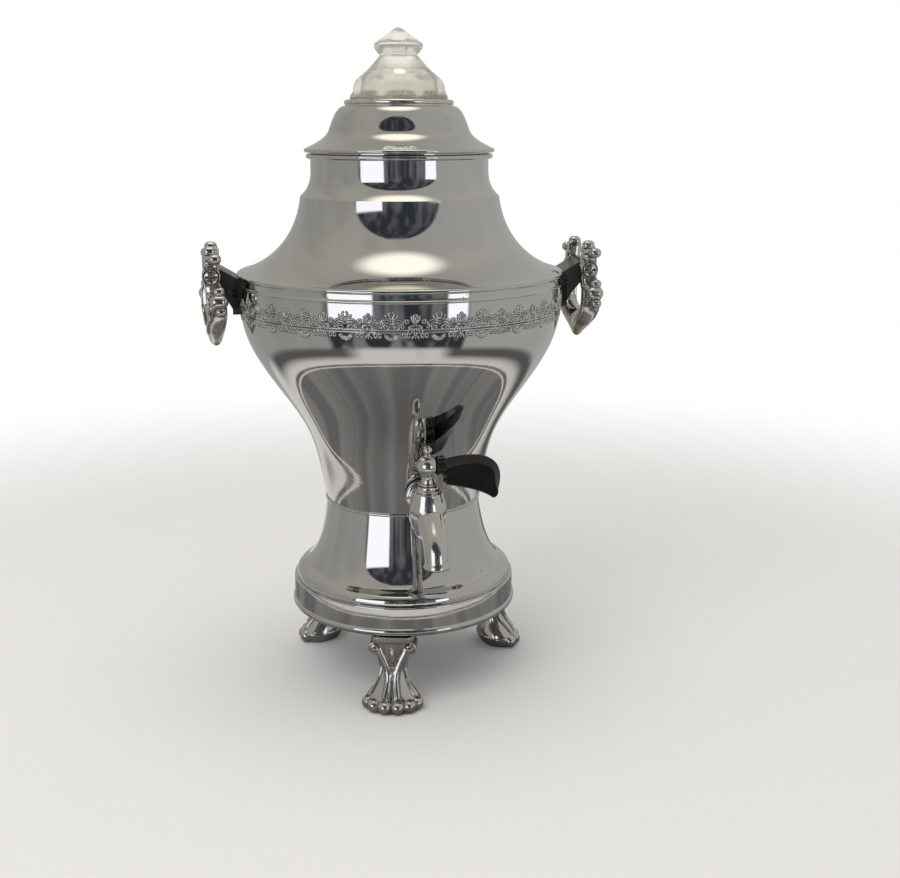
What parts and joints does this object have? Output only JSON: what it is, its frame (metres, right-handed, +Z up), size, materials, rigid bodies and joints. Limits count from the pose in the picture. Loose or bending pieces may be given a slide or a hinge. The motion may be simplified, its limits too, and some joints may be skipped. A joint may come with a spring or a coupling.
{
  "type": "electric percolator samovar",
  "caption": "Chromed electric percolator urn: vase-shaped body on a flared base with cast feet, glass-topped lid, lever tap, drop handles and a lift-out pump and coffee basket.",
  "frame": {"origin": "on the urn's axis at table level, under the middle of the body", "axes": "+Z up along the urn's axis; -Y is the front, where the tap is; +X is to the right seen from the front, where the closed lever points"},
  "size_m": [0.2294, 0.19, 0.381],
  "materials": {
    "chrome": "mirror chrome plate on spun sheet metal, lightly scratched",
    "cast_chrome": "chrome plate on castings, worn to warm metal on the high spots",
    "black_plastic": "polished black phenolic",
    "clear_glass": "pressed clear glass",
    "spun_aluminium": "spun, satin",
    "bare_steel": "plain plated steel",
    "heater_steel": "heat-darkened steel case",
    "brass": "plain",
    "porcelain": "glazed white porcelain",
    "rubber": "matte"
  },
  "bodies": {
    "urn": {"vessel": "chrome", "shoulder": "chrome", "base_skirt": "chrome", "inlet_guard": "chrome", "foot_front": "cast_chrome", "foot_right": "cast_chrome", "foot_left": "cast_chrome", "tap_body": "cast_chrome", "tap_bonnet": "cast_chrome", "pivot_screws_left": "cast_chrome", "pivot_screws_right": "cast_chrome", "handle_bracket_left": "black_plastic", "handle_bracket_right": "black_plastic", "base_pan": "bare_steel", "tie_rod": "bare_steel", "rod_washer": "bare_steel", "rod_nut": "bare_steel", "element_clamp": "bare_steel", "clamp_nut": "bare_steel", "foot_screws": "bare_steel", "bracket_screws": "bare_steel", "inlet_pins": "bare_steel", "tap_shank_nut": "bare_steel", "heating_element": "heater_steel", "lead_strips": "brass", "inlet_insulator": "porcelain", "tap_washer_outer": "rubber", "tap_washer_inner": "rubber"},
    "tap": {"tap_plug": "brass", "tap_knob": "cast_chrome", "lever_ferrule": "black_plastic", "tap_lever": "black_plastic"},
    "handle_left": {"handle_left": "cast_chrome"},
    "handle_right": {"handle_right": "cast_chrome"},
    "pump": {"pump_bell": "spun_aluminium", "pump_tube": "spun_aluminium"},
    "valve": {"pump_valve": "brass"},
    "basket": {"coffee_basket": "spun_aluminium"},
    "cover": {"basket_cover": "spun_aluminium"},
    "lid": {"lid": "chrome", "lid_collar": "chrome"},
    "glass": {"glass_top": "clear_glass"}
  },
  "joints": [
    {"name": "tap_turn", "type": "hinge", "parent": "urn", "child": "tap", "pos_m": [0, -0.0665, 0.13], "axis": [0, 0, -1], "range_deg": [0, 90]},
    {"name": "handle_left_swing", "type": "hinge", "parent": "urn", "child": "handle_left", "pos_m": [-0.10827, 0.00852, 0.2464], "axis": [0.0785, 0.9969, 0], "range_deg": [-12, 62]},
    {"name": "handle_right_swing", "type": "hinge", "parent": "urn", "child": "handle_right", "pos_m": [0.10827, -0.00852, 0.2464], "axis": [-0.0785, -0.9969, 0], "range_deg": [-12, 62]},
    {"name": "pump_lift", "type": "slide", "parent": "urn", "child": "pump", "axis": [0, 0, 1], "range_m": [0, 0.26]},
    {"name": "valve_lift", "type": "slide", "parent": "pump", "child": "valve", "axis": [0, 0, 1], "range_m": [0, 0.0022]},
    {"name": "basket_lift", "type": "slide", "parent": "pump", "child": "basket", "axis": [0, 0, 1], "range_m": [0, 0.16]},
    {"name": "cover_lift", "type": "slide", "parent": "basket", "child": "cover", "axis": [0, 0, 1], "range_m": [0, 0.06]},
    {"name": "lid_lift", "type": "slide", "parent": "cover", "child": "lid", "axis": [0, 0, 1], "range_m": [0, 0.14]},
    {"name": "glass_turn", "type": "hinge", "parent": "lid", "child": "glass", "pos_m": [0, 0, 0.3386], "axis": [0, 0, 1], "range_deg": [0, 60]}
  ]
}
